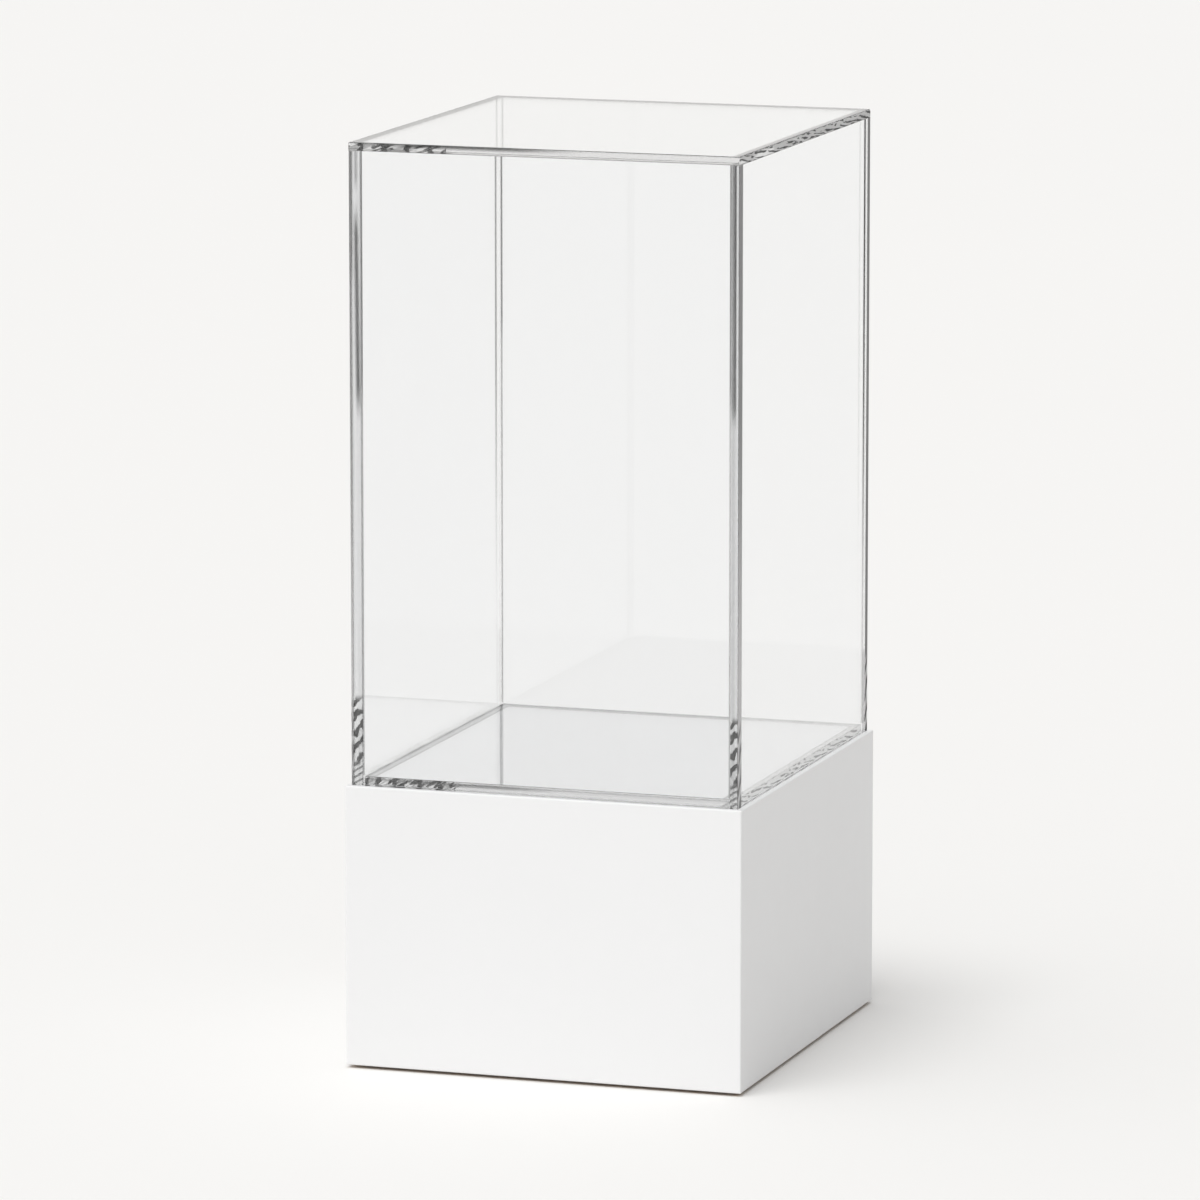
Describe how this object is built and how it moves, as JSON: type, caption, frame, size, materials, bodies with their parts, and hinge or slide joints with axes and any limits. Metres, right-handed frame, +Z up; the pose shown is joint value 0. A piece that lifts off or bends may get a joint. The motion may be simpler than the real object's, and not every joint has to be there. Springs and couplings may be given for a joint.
{
  "type": "pedestal display case",
  "caption": "White lacquered box plinth with a clear deck sheet and a tall clear cover that stands on the plinth's ledge and lifts straight off, to show an object under cover.",
  "frame": {"origin": "under the middle of the plinth, on the floor", "axes": "+Z up, +X to the right and -Y out of the front, seen from the front"},
  "size_m": [0.4, 0.44, 0.9],
  "materials": {
    "lacquer": "satin white lacquer on fibreboard",
    "clear_acrylic": "clear, polished faces and edges",
    "softwood": "planed, bare",
    "biscuit_beech": "pressed beech, bare",
    "zinc_steel": "zinc plated",
    "glide_nylon": "matte dark nylon"
  },
  "bodies": {
    "plinth": {"front_board": "lacquer", "back_board": "lacquer", "left_board": "lacquer", "right_board": "lacquer", "top_board": "lacquer", "deck": "clear_acrylic", "post_front_left": "softwood", "post_front_right": "softwood", "post_back_left": "softwood", "post_back_right": "softwood", "batten_front": "softwood", "batten_back": "softwood", "batten_left": "softwood", "batten_right": "softwood", "rail_front": "softwood", "rail_back": "softwood", "rail_left": "softwood", "rail_right": "softwood", "corner_biscuits": "biscuit_beech", "top_biscuits": "biscuit_beech", "batten_screws": "zinc_steel", "rail_screws": "zinc_steel", "glide_front_left": "glide_nylon", "glide_front_right": "glide_nylon", "glide_back_left": "glide_nylon", "glide_back_right": "glide_nylon", "glide_screws": "zinc_steel"},
    "cover": {"cover_top": "clear_acrylic", "cover_front": "clear_acrylic", "cover_back": "clear_acrylic", "cover_left": "clear_acrylic", "cover_right": "clear_acrylic"}
  },
  "joints": [
    {"name": "cover_lift", "type": "slide", "parent": "plinth", "child": "cover", "axis": [0, 0, 1], "range_m": [0, 0.65]}
  ]
}
